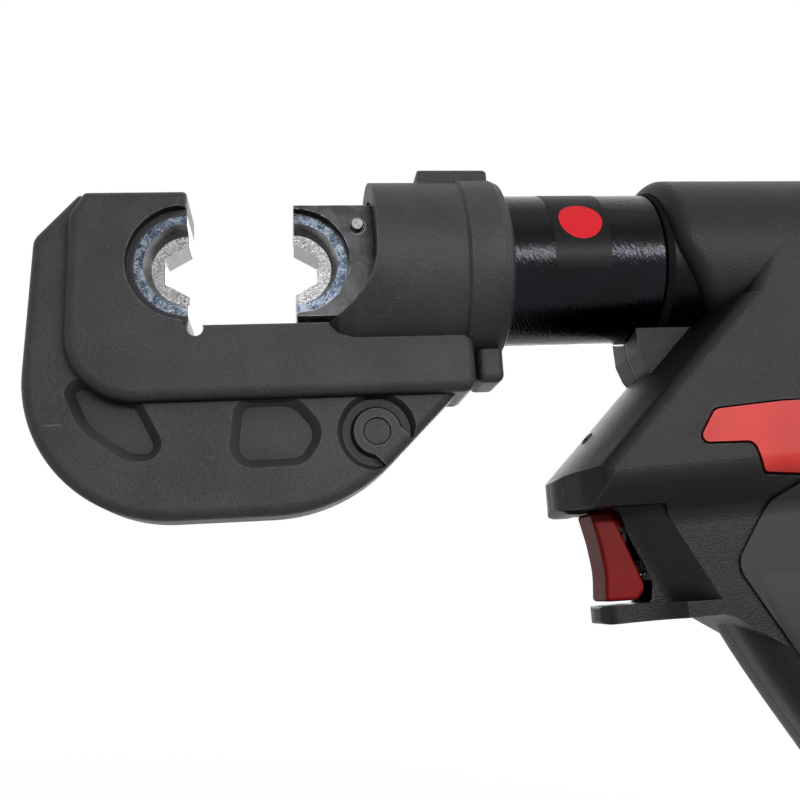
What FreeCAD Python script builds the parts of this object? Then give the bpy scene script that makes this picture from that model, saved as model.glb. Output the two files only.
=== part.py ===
import FreeCAD, Part
import math
import os

# Battery hydraulic crimping tool with a C shaped head.
# The ram runs along X and the origin is the crimp centre on the fixed die's parting face.
# The body lies towards +X, Z is up, and the photographed side faces -Y. Millimetres.

# Clearances and fits
running_fit = 0.05
slide_gap = 0.3
seam_gap = 0.8

# Dies and head
jaw_gap = 42.0
die_radius = 20.8
die_width = 29.4
die_rim = 3.7
die_land = 15.0
crimp_flats = 19.0
jaw_thickness = 38.0
jaw_back = 47.6
jaw_top = 30.6
throat_floor = 26.0
spine_depth = 28.6
web_thickness = 26.0
web_drop = 45.2
pocket_depth = 4.0
boss_radius = 9.0
cross_pin_radius = 5.6

# Ram and cylinder
ram_head_radius = 30.0
ram_head_length = 42.0
ram_rod_radius = 15.0
piston_radius = 24.0
piston_length = 14.7
gland_gap = 16.0
gland_flange = 4.0
gland_spigot = 8.0
spring_wire = 2.8
spring_turns = 4
barrel_radius = 32.0
barrel_wall_rear = 6.0
collar_radius = 37.6
collar_length = 27.5
mouth_setback = 31.0
spigot_radius = 16.0
spigot_length = 34.0
swivel_ring_width = 3.5
button_radius = 2.6
button_travel = 2.5

# Body
body_radius = 38.0
body_length = 156.0
shell_wall = 3.0
handle_half = 22.0
prow_offset = 39.5
prow_rounding = 6.0
foot_height = 16.0
foot_level = -252.0
skin = 1.2
screw_radius = 2.0
boss_wall = 2.6

# Trigger and lever
trigger_half = 9.0
trigger_hub = 5.0
trigger_pin_radius = 2.0
lever_thickness = 4.0
lever_pin_radius = 1.25

# Drive and battery
pump_half = 24.0
motor_radius = 27.0
gearbox_radius = 28.0
gearbox_length = 23.0
tail_gap = 15.0
shaft_radius = 6.0
lobe_radius = 9.0
lobe_throw = 2.0
cell_radius = 10.5
cell_length = 70.0
cell_count = 5
battery_wall = 2.5
shoe_stem_half = 18.0
shoe_flange_half = 24.0
shoe_step = 5.0
shoe_plug_height = 5.0

# Places worked out from the sizes above
ram_head_back = jaw_gap + ram_head_length
gland_front = ram_head_back + gland_gap
barrel_front = gland_front + gland_flange
collar_rear = gland_front + collar_length
gland_rear = barrel_front + gland_spigot
solid_spring = spring_wire * (spring_turns + 1.5)
piston_front = gland_rear + jaw_gap + solid_spring
piston_rear = piston_front + piston_length
bore_rear = piston_rear + slide_gap
barrel_rear = bore_rear + barrel_wall_rear
swivel_x = barrel_rear + swivel_ring_width
collar_mouth = jaw_gap + mouth_setback
web_rear = collar_rear - 15
jaw_half = jaw_thickness / 2
web_half = web_thickness / 2
spine_bottom = -throat_floor - spine_depth
web_bottom = spine_bottom - web_drop
seat_radius = die_radius + running_fit


def vec(x, y, z):
    return FreeCAD.Vector(x, y, z)


X_AXIS = vec(1, 0, 0)
Y_AXIS = vec(0, 1, 0)
Z_AXIS = vec(0, 0, 1)


def rod_x(radius, x_from, x_to, y=0.0, z=0.0):
    return Part.makeCylinder(radius, x_to - x_from, vec(x_from, y, z), X_AXIS)


def rod_y(radius, y_from, y_to, x=0.0, z=0.0):
    return Part.makeCylinder(radius, y_to - y_from, vec(x, y_from, z), Y_AXIS)


def rod_z(radius, z_from, z_to, x=0.0, y=0.0):
    return Part.makeCylinder(radius, z_to - z_from, vec(x, y, z_from), Z_AXIS)


def tube_x(outer, inner, x_from, x_to):
    return rod_x(outer, x_from, x_to).cut(rod_x(inner, x_from, x_to))


def block(x_from, x_to, y_from, y_to, z_from, z_to):
    size = (x_to - x_from, y_to - y_from, z_to - z_from)
    return Part.makeBox(size[0], size[1], size[2], vec(x_from, y_from, z_from))


def rounded_wire(corners, place):
    """A closed wire through (a, b, radius) corners, put in space by place(a, b)."""
    ends = []
    count = len(corners)
    for index in range(count):
        a0, b0 = corners[index - 1][:2]
        a1, b1, radius = corners[index]
        a2, b2 = corners[(index + 1) % count][:2]
        before = FreeCAD.Vector(a0 - a1, b0 - b1, 0).normalize()
        after = FreeCAD.Vector(a2 - a1, b2 - b1, 0).normalize()
        half = before.getAngle(after) / 2
        corner = FreeCAD.Vector(a1, b1, 0)
        reach = radius / math.tan(half)
        start = corner + before * reach
        end = corner + after * reach
        middle = corner
        if radius > 0:
            inward = (before + after).normalize()
            middle = corner + inward * (radius / math.sin(half) - radius)
        ends.append((start, middle, end, radius))
    edges = []
    for index in range(count):
        start, middle, end, radius = ends[index]
        next_start = ends[(index + 1) % count][0]
        if radius > 0:
            edges.append(Part.Arc(place(start), place(middle), place(end)).toShape())
        if (next_start - end).Length > 0.001:
            edges.append(Part.LineSegment(place(end), place(next_start)).toShape())
    return Part.Wire(edges)


def side_wire(corners, y=0.0, shift=0.0):
    return rounded_wire(corners, lambda p: vec(p.x + shift, y, p.y))


def grown(wire, amount):
    if amount == 0:
        return wire
    return wire.makeOffset2D(amount)


def slab(corners, half, shift=0.0, grow=0.0):
    """A side outline in X and Z, extruded to both sides of the middle plane."""
    wire = grown(side_wire(corners, -half, shift), grow)
    return Part.Face(wire).extrude(vec(0, 2 * half, 0))


def band(corners, y_from, y_to, shift=0.0, grow=0.0):
    wire = grown(side_wire(corners, y_from, shift), grow)
    return Part.Face(wire).extrude(vec(0, y_to - y_from, 0))


def front_prism(corners, x_from, x_to, grow=0.0):
    wire = rounded_wire(corners, lambda p: vec(x_from, p.x, p.y))
    return Part.Face(grown(wire, grow)).extrude(vec(x_to - x_from, 0, 0))


def plan_prism(corners, z_from, z_to, shift=0.0, grow=0.0):
    wire = rounded_wire(corners, lambda p: vec(p.x + shift, p.y, z_from))
    return Part.Face(grown(wire, grow)).extrude(vec(0, 0, z_to - z_from))


def turned(profile):
    """Revolves (x, radius) points about the ram axis."""
    points = [vec(x, 0, radius) for x, radius in profile]
    face = Part.Face(Part.makePolygon(points + [points[0]]))
    return face.revolve(vec(0, 0, 0), X_AXIS, 360)


def soften(shape, radius, wanted):
    edges = [edge for edge in shape.Edges if wanted(edge.BoundBox)]
    return shape.makeFillet(radius, edges)


def on_side(box, half):
    flat = box.YMax - box.YMin < 0.01
    return flat and abs(abs(box.YMin) - half) < 0.01


def coil_x(radius, wire_radius, x_from, x_to, turns, y=0.0, z=0.0, steps=12, sides=4):
    """A compression spring along X, with its wire inside the two ends."""
    length = x_to - x_from - 2 * wire_radius
    sections = []
    for step in range(steps * turns + 1):
        angle = 2 * math.pi * step / steps
        centre_x = x_from + wire_radius + length * step / (steps * turns)
        corners = []
        for side in range(sides):
            turn = 2 * math.pi * side / sides
            reach = radius + wire_radius * math.cos(turn)
            corners.append(vec(centre_x + wire_radius * math.sin(turn),
                               y + reach * math.cos(angle), z + reach * math.sin(angle)))
        sections.append(Part.makePolygon(corners + [corners[0]]))
    return Part.makeLoft(sections, True, True)


# Head

def web_outline():
    """The outer C of the forging, behind and below the thick jaw."""
    low = web_bottom
    return [
        (-43, jaw_top + 1.2, 1.5),
        (-60, 13.2, 7),
        (-66.8, low, 56),
        (57.7, low, 68),
        (web_rear, -47, 3),
        (web_rear, -throat_floor - 2, 0),
        (-2, -throat_floor - 2, 0),
        (-2, jaw_top - 1, 0),
        (-30, jaw_top - 1, 0),
        (-32, jaw_top + 1.2, 0),
    ]


def jaw_outline():
    return [
        (-running_fit, -throat_floor, 0),
        (-running_fit, jaw_top, 1.2),
        (-39.5, jaw_top - 0.3, 2),
        (-jaw_back + 2, 20.5, 6),
        (-jaw_back, spine_bottom, 27),
        (web_rear - 0.5, spine_bottom, 5),
        (web_rear - 0.5, -throat_floor, 0),
    ]


def forged_pocket(floor_corners, side):
    """A shallow pocket whose walls flare out to the web's face."""
    floor = side_wire(floor_corners, side * (web_half - pocket_depth))
    rim = side_wire(floor_corners, side * (web_half + 0.4)).makeOffset2D(4)
    return Part.makeLoft([floor, rim], True, True)


def web_pockets():
    left = [
        (-44.5, -47, 2),
        (-38, -62, 14),
        (-22.5, -73.5, 5),
        (-12.5, -73.5, 3),
        (-21, -56, 2),
        (-29, -51, 2),
    ]
    middle = [
        (20, -57, 4),
        (39, -57, 9),
        (48, -68, 7),
        (41.5, -77.5, 6),
        (17.5, -77.5, 5),
    ]
    pockets = []
    for side in (-1, 1):
        pockets.append(forged_pocket(left, side))
        pockets.append(forged_pocket(middle, side))
    return pockets


boss_x = 71.6
boss_z = -68.8


def boss_channels():
    """The ring recess round the pin boss, left open by a neck to the outer edge."""
    depth = pocket_depth - 1
    neck = block(0, 24, -web_half - 1, web_half + 1, -7.5, 7.5)
    neck.rotate(vec(0, 0, 0), Y_AXIS, 45)
    neck.translate(vec(boss_x, 0, boss_z))
    channels = []
    for side in (-1, 1):
        floor_y = side * (web_half - depth)
        rim_y = side * (web_half + 0.4)
        low, high = min(floor_y, rim_y), max(floor_y, rim_y)
        outer = Part.makeCone(boss_radius + 4.5, boss_radius + 7, abs(rim_y - floor_y),
                              vec(boss_x, floor_y, boss_z), vec(0, side, 0))
        inner = Part.makeCone(boss_radius + 1.4, boss_radius, abs(rim_y - floor_y),
                              vec(boss_x, floor_y, boss_z), vec(0, side, 0))
        channels.append(outer.cut(inner).cut(neck))
    return channels


def collar_solid():
    step = collar_rear - 18
    body = turned([
        (38, 0),
        (38, 18),
        (collar_mouth - 15, collar_radius - 1.5),
        (collar_mouth - 9, collar_radius),
        (step - 1.5, collar_radius),
        (step, collar_radius + 0.9),
        (collar_rear - 5, collar_radius + 0.9),
        (collar_rear - 2, collar_radius - 0.4),
        (collar_rear, collar_radius - 4),
        (collar_rear, 0),
    ])
    pad = block(collar_rear - 34, collar_rear - 4.3, -14, 14, 0, collar_radius + 4)
    pad = soften(pad, 3, lambda box: box.ZMin > collar_radius)
    lug = block(collar_rear - 14, collar_rear - 2.5, -12, 12, -50, 0)
    lug = soften(lug, 3.4, lambda box: box.ZMax < -49 or (box.ZMax - box.ZMin > 40))
    return body.fuse([pad, lug])


def mouth_cutter():
    """The open front of the collar, an arc round the moving die."""
    radius = mouth_setback - 3
    return slab([
        (-90, 60, 0),
        (collar_mouth, 60, 0),
        (collar_mouth, -radius, radius),
        (-90, -radius, 0),
    ], collar_radius + 6)


def c_frame():
    web = slab(web_outline(), web_half)
    web = soften(web, 4.5, lambda box: on_side(box, web_half) and box.ZMin < -30 and box.ZMax < 20)
    web = web.cut(web_pockets() + boss_channels())
    collar = collar_solid().cut(mouth_cutter())
    jaw = slab(jaw_outline(), jaw_half)
    jaw = soften(jaw, 4.5, lambda box: on_side(box, jaw_half)
                 and not (box.XMin > -3 and box.ZMax > -throat_floor - 1))
    frame = web.fuse([jaw, collar])
    bore = rod_x(ram_head_radius, 10, barrel_front + 1)
    bore = bore.common(block(0, barrel_front + 1, -50, 50, -throat_floor, 50))
    seat = rod_y(seat_radius, -jaw_half - 1, jaw_half + 1)
    relief = [rod_y(3.0, -jaw_half - 1, jaw_half + 1, 2.9, -throat_floor - 1.2)]
    for side in (-1, 1):
        inner = side * (die_width / 2 + 0.2)
        outer = side * (jaw_half + 1)
        relief.append(rod_y(die_radius + 2.8, min(inner, outer), max(inner, outer)))
    barrel_seat = rod_x(barrel_radius + running_fit, barrel_front, collar_rear + 1)
    pin_hole = rod_y(cross_pin_radius, -web_half - 1, web_half + 1, boss_x, boss_z)
    frame = frame.cut([bore, seat, barrel_seat, pin_hole] + relief)
    return frame.cut(button_bore(-1, 1))


def frame_cross_pin():
    pin = rod_y(cross_pin_radius, -web_half + 0.5, web_half - 0.5, boss_x, boss_z)
    return pin.makeChamfer(0.6, [edge for edge in pin.Edges if on_side(edge.BoundBox, web_half - 0.5)])


# Dies, seen with the fixed die on the left and the moving die on the right

def die(sign, face_x):
    """Half a hexagonal die; sign is -1 for the fixed side and +1 for the ram side."""
    half = die_width / 2
    land = die_land / 2
    solid = rod_y(die_radius, -half, half, face_x)
    keep = block(face_x - 40, face_x, -half, half, -40, 40)
    if sign > 0:
        keep = block(face_x, face_x + 40, -half, half, -40, 40)
    corner = crimp_flats / math.sqrt(3)
    hexagon = []
    for index in range(6):
        angle = math.radians(30 + 60 * index)
        hexagon.append((face_x + corner * math.sin(angle + math.radians(30)),
                        corner * math.cos(angle + math.radians(30)), 0))
    bore = slab(hexagon, half + 1)
    cones = []
    for side in (-1, 1):
        cones.append(Part.makeCone(die_radius - die_rim - 2.4, die_radius - die_rim, half - land,
                                   vec(face_x, side * land, 0), vec(0, side, 0)))
    solid = solid.common(keep).cut([bore] + cones)
    return solid


def fixed_die():
    return die(-1, -running_fit)


def moving_die():
    return die(1, jaw_gap + running_fit)


# Die release buttons: a plunger behind a pressed bush, at the same place on both dies

button_reach = 25.2
button_height = 14.0
bush_radius = 3.5
bush_length = 3.0
button_depth = 13.0


def button_place(sign):
    return sign * button_reach + (jaw_gap if sign > 0 else 0)


def button_span(side, near, far):
    """Two distances below the jaw's face, given as an ordered pair of Y values."""
    ends = (side * (jaw_half - near), side * (jaw_half - far))
    return min(ends), max(ends)


def button_bore(sign, side):
    low, high = button_span(side, -1, button_depth)
    return rod_y(bush_radius, low, high, button_place(sign), button_height)


def release_button(sign, side):
    x = button_place(sign)
    low, high = button_span(side, -button_travel - 0.6, bush_length + 0.1)
    tip = rod_y(button_radius, low, high, x, button_height)
    low, high = button_span(side, bush_length + 0.1, bush_length + 3.6)
    collar = rod_y(bush_radius - running_fit, low, high, x, button_height)
    return soften(tip, 0.5, lambda box: abs(abs(box.YMin) - jaw_half - button_travel - 0.6) < 0.01
                  and box.YMax - box.YMin < 0.01).fuse(collar)


def button_bush(sign, side):
    low, high = button_span(side, 0, bush_length)
    x = button_place(sign)
    bush = rod_y(bush_radius, low, high, x, button_height)
    return bush.cut(rod_y(button_radius + running_fit, low - 1, high + 1, x, button_height))


def button_spring(sign, side):
    radius = 2.4
    wire = 0.4
    low, high = button_span(side, bush_length + 3.7, button_depth)
    spring = coil_x(radius, wire, 0, high - low, 4)
    spring.rotate(vec(0, 0, 0), Z_AXIS, 90)
    spring.translate(vec(button_place(sign), low, button_height))
    return spring


# Ram

def ram_head():
    front = jaw_gap + running_fit
    head = rod_x(ram_head_radius - running_fit, front, ram_head_back)
    trim = block(front, ram_head_back, -jaw_half, jaw_half, -throat_floor + running_fit, 23)
    head = head.common(trim)
    seat = rod_y(seat_radius, -jaw_half - 1, jaw_half + 1, front)
    relief = []
    for side in (-1, 1):
        inner = side * (die_width / 2 + 0.2)
        outer = side * (jaw_half + 1)
        relief.append(rod_y(die_radius + 0.9, min(inner, outer), max(inner, outer), front))
    tenon_hole = rod_x(ram_rod_radius - 3, ram_head_back - 9, ram_head_back + 1)
    return head.cut([seat, tenon_hole, button_bore(1, -1)] + relief)


def ram_rod():
    tenon = rod_x(ram_rod_radius - 3 - running_fit, ram_head_back - 8.5, ram_head_back)
    rod = rod_x(ram_rod_radius, ram_head_back, piston_front)
    piston = rod_x(piston_radius - running_fit, piston_front, piston_rear)
    groove = piston_groove()
    band_groove = piston_band_groove()
    return tenon.fuse([rod, piston]).cut([groove, band_groove])


def piston_groove():
    return tube_x(piston_radius + 1, piston_radius - 3.2, piston_rear - 5.5, piston_rear - 2)


def piston_band_groove():
    return tube_x(piston_radius + 1, piston_radius - 1.6, piston_front + 2.5, piston_front + 7.5)


def piston_seal():
    return tube_x(piston_radius - 0.02, piston_radius - 3.2, piston_rear - 5.4, piston_rear - 2.1)


def guide_band():
    return tube_x(piston_radius - 0.02, piston_radius - 1.6, piston_front + 2.6, piston_front + 7.4)


def return_spring():
    radius = (ram_rod_radius + piston_radius) / 2
    return coil_x(radius, spring_wire / 2, gland_rear, piston_front, spring_turns, steps=16, sides=6)


# Cylinder

def gland_bush():
    flange = rod_x(ram_head_radius - running_fit, gland_front, barrel_front)
    spigot = rod_x(piston_radius - running_fit, barrel_front, gland_rear)
    bore = rod_x(ram_rod_radius + running_fit, gland_front - 1, gland_rear + 1)
    floor = block(gland_front - 1, gland_rear + 1, -50, 50, -50, -throat_floor + running_fit)
    return flange.cut(floor).fuse(spigot).cut([bore, rod_seal_groove()])


def rod_seal_groove():
    middle = (gland_front + gland_rear) / 2
    return rod_x(ram_rod_radius + 3, middle - 2.5, middle + 1.5)


def rod_seal():
    middle = (gland_front + gland_rear) / 2
    return tube_x(ram_rod_radius + 3, ram_rod_radius + 0.02, middle - 2.4, middle + 1.4)


def barrel():
    tube = rod_x(barrel_radius, barrel_front, barrel_rear)
    tube = soften(tube, 0.8, lambda box: box.XMin > barrel_rear - 0.01)
    spigot = rod_x(spigot_radius, barrel_rear, barrel_rear + spigot_length)
    bore = rod_x(piston_radius, barrel_front - 1, bore_rear)
    port = rod_x(3, bore_rear - 1, barrel_rear + spigot_length + 1)
    ring_groove = tube_x(spigot_radius + 1, spigot_radius - 2, barrel_rear + 14, barrel_rear + 17)
    clip_groove = tube_x(spigot_radius + 1, spigot_radius - 1.5, clip_place(), clip_place() + 2)
    return tube.fuse(spigot).cut([bore, port, ring_groove, clip_groove])


def clip_place():
    return barrel_rear + spigot_length - 4


def swivel_ring_seal():
    return tube_x(spigot_radius + 0.02, spigot_radius - 2, barrel_rear + 14.1, barrel_rear + 16.9)


def swivel_clip():
    clip = tube_x(spigot_radius + 3, spigot_radius - 1.5, clip_place() + 0.1, clip_place() + 1.9)
    gap = block(clip_place() - 1, clip_place() + 3, -4, 4, 0, spigot_radius + 5)
    return clip.cut(gap)


label_front = 144.5
label_rear = 167.6


def barrel_label():
    """A thin sticker bent round the near upper side of the barrel."""
    sheet = tube_x(barrel_radius + 0.16, barrel_radius + 0.01, label_front, label_rear)
    keep = front_prism([
        (0, 0, 0),
        (12, 60, 0),
        (-60, 60, 0),
        (-60, -17.8, 0),
    ], label_front, label_rear)
    return sheet.common(keep)


# Body shell, with its outlines measured from the swivel face

def body_outline():
    return [
        (prow_offset - 23, -23, 0),
        (prow_offset - 91.5, -91.5, 5),
        (-53.4, -97, 6),
        (-51, -105, 6),
        (-40.8, -105, 2),
        (-39.4, -103.4, 1),
        (-28.5, -103.4, 4),
        (-16.4, -133, 5),
        (-17.4, -140.6, 2),
        (-37.5, -141, 2),
        (-38.8, -148.2, 3),
        (8, -146.3, 14),
        (30, -160, 4),
        (70, -150, 6),
        (50, -104, 16),
        (106, -66, 25),
        (body_length - 4, -50, 14),
        (body_length, body_radius, 18),
        (68, body_radius, 4),
        (43, 9, 3),
        (24, -22, 3),
    ]


def body_front_outline():
    high = body_radius
    return [
        (-high, -175, 0),
        (-high, high, high),
        (high, high, high),
        (high, -175, 0),
    ]


def body_plan_outline():
    wide = body_radius
    tail = body_length + 1
    return [
        (-51.6, -6, 20),
        (-46, -24, 20),
        (-39.5, -wide - 0.01, 7),
        (108, -wide - 0.01, 40),
        (tail, -27, 12),
        (tail, 27, 12),
        (108, wide + 0.01, 40),
        (-39.5, wide + 0.01, 7),
        (-46, 24, 20),
        (-51.6, 6, 20),
    ]


prow_top = -22.5


def prow_cut(grow):
    """What the crowned front strip of the prow, with its rounded edges, leaves off."""
    wide = body_radius + 0.01
    across = math.sqrt(0.5)
    start = vec(swivel_x - 100, 0, -100 - prow_offset)
    corners = [
        (0, -14, 2.5 * body_radius),
        (0, 14, 2.5 * body_radius),
        (6.7, wide, prow_rounding),
        (200, wide, 0),
        (200, -wide, 0),
        (6.7, -wide, prow_rounding),
    ]
    place = lambda p: start + vec(across * p.x, p.y, -across * p.x)
    wire = grown(rounded_wire(corners, place), grow)
    strip = Part.Face(wire).extrude(vec(170, 0, 170))
    return block(swivel_x - 90, swivel_x + 60, -60, 60, -150, prow_top).cut(strip)


def wing_cut(side, grow):
    """Rounds the edge where the flat side starts on the drum."""
    foot_point = vec(26.4, 0, prow_top)
    along = (vec(43, 0, 9) - foot_point).normalize()
    inward = vec(along.z, 0, -along.x)
    wide = body_radius + 0.01
    start = foot_point + vec(swivel_x, 0, 0) - along * 20
    corners = [
        (-30, 10, 0),
        (0, 10, 0),
        (0, wide, prow_rounding),
        (30, wide, 0),
        (30, 60, 0),
        (-30, 60, 0),
    ]
    place = lambda p: start + inward * p.x + vec(0, side * p.y, 0)
    wire = grown(rounded_wire(corners, place), -grow)
    above = block(swivel_x - 10, swivel_x + 60, -60, 60, prow_top, 9)
    return Part.Face(wire).extrude(along * 80).common(above)


crease_start = vec(-50, 0, -95.2)
crease_rise = 0.05


def under_cut(side, grow):
    """The wedge off the shell's lower side, from the rising crease in to the handle."""
    corners = [
        (60, 20, 0),
        (body_radius + 0.01, 20, 0),
        (body_radius + 0.01, 0, 9),
        (handle_half, -15, 9),
        (handle_half, -90, 0),
        (60, -90, 0),
    ]
    place = lambda p: vec(swivel_x + crease_start.x - 20, side * p.x, crease_start.z - 20 * crease_rise + p.y)
    wire = grown(rounded_wire(corners, place), -grow)
    return Part.Face(wire).extrude(vec(220, 0, 220 * crease_rise))


bay_level = -103.4
bay_top = vec(-14.7, 0, -102.5)
bay_foot = vec(-2.2, 0, -125.4)
bay_half = 11.5
guard_level = -140.8


def bay_cut(side, grow):
    """The flare from the narrow front round the trigger out to the handle's full width."""
    down = (bay_foot - bay_top).normalize()
    ahead = vec(down.z, 0, -down.x)
    start = bay_top + vec(swivel_x, 0, 0) - down * 30
    corners = [
        (0, 50, 0),
        (0, handle_half, 0),
        (14, bay_half, 8),
        (60, bay_half, 0),
        (60, 50, 0),
    ]
    place = lambda p: start + ahead * p.x + vec(0, side * p.y, 0)
    wire = grown(rounded_wire(corners, place), -grow)
    below = block(swivel_x - 70, swivel_x + 40, -60, 60, guard_level + grow, bay_level - grow)
    return Part.Face(wire).extrude(down * 90).common(below)


def guard_cut(side, grow):
    """Narrows the trigger guard to its rounded tip."""
    corners = [
        (-60, 0, 0),
        (-37.8, 0, 0),
        (-37.4, 6, 5),
        (-34.5, 12, 4),
        (-20, 13.5, 30),
        (-4, handle_half, 20),
        (-4, 50, 0),
        (-60, 50, 0),
    ]
    place = lambda p: vec(p.x + swivel_x, side * p.y, -165)
    wire = grown(rounded_wire(corners, place), -grow)
    return Part.Face(wire).extrude(vec(0, 0, guard_level + grow + 165))


def drum(grow):
    """The round front of the body that takes the cylinder, with a soft front edge."""
    outline = [
        (-1.5, 60, 0),
        (-1, 16, 0),
        (0.5, -1, 16),
        (34.2, -59.5, 0),
        (90, -59.5, 0),
        (90, 60, 0),
    ]
    front = slab(outline, 60, swivel_x, grow)
    solid = rod_x(body_radius + grow, swivel_x - 10, swivel_x + 88).common(front)
    if grow != 0:
        return solid
    return soften(solid, 6.5, lambda box: box.XMax < swivel_x + 30 and box.XMax - box.XMin > 5)


def chin(grow):
    """The lip of the shell that comes forward under the cylinder."""
    return slab([
        (-13, -24, 0),
        (-12.5, -40, 5),
        (-10, -47, 3),
        (4, -66, 2),
        (30, -40, 2),
        (30, -24, 0),
    ], 14 + grow, swivel_x, grow)


def handle_section(z, x_front, x_rear, half, grow):
    radius = half * 0.72
    corners = [
        (x_front - grow, -half - grow, radius + grow),
        (x_rear + grow, -half - grow, radius + grow),
        (x_rear + grow, half + grow, radius + grow),
        (x_front - grow, half + grow, radius + grow),
    ]
    return rounded_wire(corners, lambda p: vec(p.x + swivel_x, p.y, z))


def handle(grow):
    return Part.makeLoft([
        handle_section(-118, 4, 52, handle_half - 2, grow),
        handle_section(-157, 19, 76, handle_half + 1, grow),
        handle_section(-197, 42, 99, handle_half - 0.5, grow),
        handle_section(-238, 66, 123, handle_half + 1, grow),
    ], True, False)


foot_front = 44.0
foot_rear = 152.0
foot_half = 35.0


def foot(grow):
    top = foot_level + foot_height + grow
    bottom = foot_level - grow
    left = swivel_x + foot_front - grow
    right = swivel_x + foot_rear + grow
    solid = block(left, right, -foot_half - grow, foot_half + grow, bottom, top)
    solid = soften(solid, 10, lambda box: box.ZMax - box.ZMin > 5)
    return soften(solid, 4, lambda box: box.ZMin > top - 0.01)


def body_form(grow):
    """The whole outside of the body, grown outward or, when negative, shrunk to its cavity."""
    side = slab(body_outline(), 60, swivel_x, grow)
    front = front_prism(body_front_outline(), swivel_x - 70, swivel_x + 170, grow)
    plan = plan_prism(body_plan_outline(), -180, 60, swivel_x, grow)
    form = side.common(front).common(plan)
    cuts = [prow_cut(grow)]
    for side_sign in (-1, 1):
        cuts.append(wing_cut(side_sign, grow))
        cuts.append(under_cut(side_sign, grow))
        cuts.append(bay_cut(side_sign, grow))
        cuts.append(guard_cut(side_sign, grow))
    form = form.cut(cuts)
    return form.fuse([drum(grow), chin(grow), handle(grow), foot(grow)])


cap_seam = -49.2


def screw_places():
    """Five joints between the two half shells, as (x, z) from the swivel face."""
    return [(-40.5, -95.8), (14, -62), (96, -56), (57, -176), (100, -226)]


def shell_bosses():
    """Inner bosses for the screws and the trigger's pin, and ribs that hold the switch."""
    bosses = []
    for x, z in screw_places():
        bosses.append(rod_y(screw_radius + boss_wall, -60, 60, swivel_x + x, z))
    for side in (-1, 1):
        near, far = sorted((side * (trigger_neck_half + slide_gap), side * 60))
        boss = rod_y(trigger_pin_radius + boss_wall, near, far, swivel_x + trigger_x, trigger_z)
        pin_seat = rod_y(trigger_pin_radius, near, far, swivel_x + trigger_x, trigger_z)
        near, far = sorted((side * switch_half, side * 60))
        bosses.append(boss.cut(pin_seat))
        bosses.append(block(swivel_x - 11, swivel_x - 1, near, far, -122, -117))
    return bosses


def body_shell():
    outside = body_form(0)
    inside = body_form(-shell_wall)
    bosses = shell_bosses()[0].fuse(shell_bosses()[1:]).common(inside)
    return outside.cut(inside).fuse(bosses)


def shell_cuts():
    """Openings for the cylinder, trigger, shoe and screws."""
    cylinder = rod_x(barrel_radius + 1, swivel_x - 30, swivel_x + pump_front + 2)
    trigger_slot = block(swivel_x - 39.4, swivel_x - 12.5, -trigger_half - seam_gap,
                         trigger_half + seam_gap, -140.6, -100)
    shoe = shoe_plug(running_fit)
    cuts = [cylinder, trigger_slot, shoe]
    for x, z in screw_places():
        cuts.append(rod_y(screw_radius + running_fit, -9, 60, swivel_x + x, z))
        cuts.append(rod_y(screw_radius + 1.8, screw_seat(z), 60, swivel_x + x, z))
    return cuts


def screw_seat(z):
    """Depth of the screw head's seat, below the far side's surface at that height."""
    if z > -90:
        return body_radius - 6
    return handle_half - 7


def lever_outline():
    return [
        (-3.4, -82, 2.4),
        (4.8, -69.6, 4),
        (32, -67.4, 30),
        (57, -67, 5),
        (59, -80, 6),
        (49, -95.5, 6),
        (22.5, -94, 3),
        (19, -82.2, 4),
    ]


lever_hinge_x = 4.5
lever_hinge_y = 31.0


def lever_ears():
    """The two ears inside the near shell that carry the lever's pin."""
    ears = []
    for low, high in ((-66.5, -63), (-89, -85.5)):
        ear = block(swivel_x + lever_hinge_x - 3, swivel_x + lever_hinge_x + 3,
                    -body_radius + shell_wall - 1, -lever_hinge_y + 3, low, high)
        ears.append(ear)
    return ears


def lever_pin():
    return rod_z(lever_pin_radius, -88.5, -63.5, swivel_x + lever_hinge_x, -lever_hinge_y)


def housing_left():
    shell = body_shell().cut(shell_cuts())
    half = block(swivel_x + cap_seam, swivel_x + 400, -80, 0, -300, 100)
    pocket = band(lever_outline(), -60, -20, swivel_x, seam_gap)
    ears = lever_ears()
    pin_hole = rod_z(lever_pin_radius + running_fit, -89.5, -60, swivel_x + lever_hinge_x, -lever_hinge_y)
    return shell.common(half).cut(pocket).fuse(ears).cut(pin_hole)


def housing_right():
    shell = body_shell().cut(shell_cuts())
    return shell.common(block(swivel_x + cap_seam, swivel_x + 400, 0, 80, -300, 100))


def nose_cap():
    return body_shell().common(block(swivel_x - 80, swivel_x + cap_seam - 0.1, -80, 80, -300, 100))


def housing_screw(x, z):
    seat = screw_seat(z)
    shank = rod_y(screw_radius, -8, seat, swivel_x + x, z)
    head = rod_y(screw_radius + 1.6, seat, seat + 3, swivel_x + x, z)
    socket = rod_y(1.4, seat + 1.2, seat + 4, swivel_x + x, z)
    return shank.fuse(head).cut(socket)


def grip_outline():
    return [
        (13, -128, 9),
        (30, -104, 4),
        (44, -96, 3),
        (70, -96, 2),
        (150, -232, 2),
        (74, -232, 4),
    ]


def grip_sleeve():
    """Soft skin moulded over the sides and back of the handle."""
    skin_form = body_form(skin).common(slab(grip_outline(), 60, swivel_x))
    screw_holes = [rod_y(screw_radius + 1.8, 0, 60, swivel_x + x, z) for x, z in screw_places()]
    return skin_form.cut(body_form(0)).cut(screw_holes)


# Trigger and release lever

trigger_x = -27.0
trigger_z = -96.5
trigger_neck_half = 7.0
switch_half = 8.0


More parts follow.
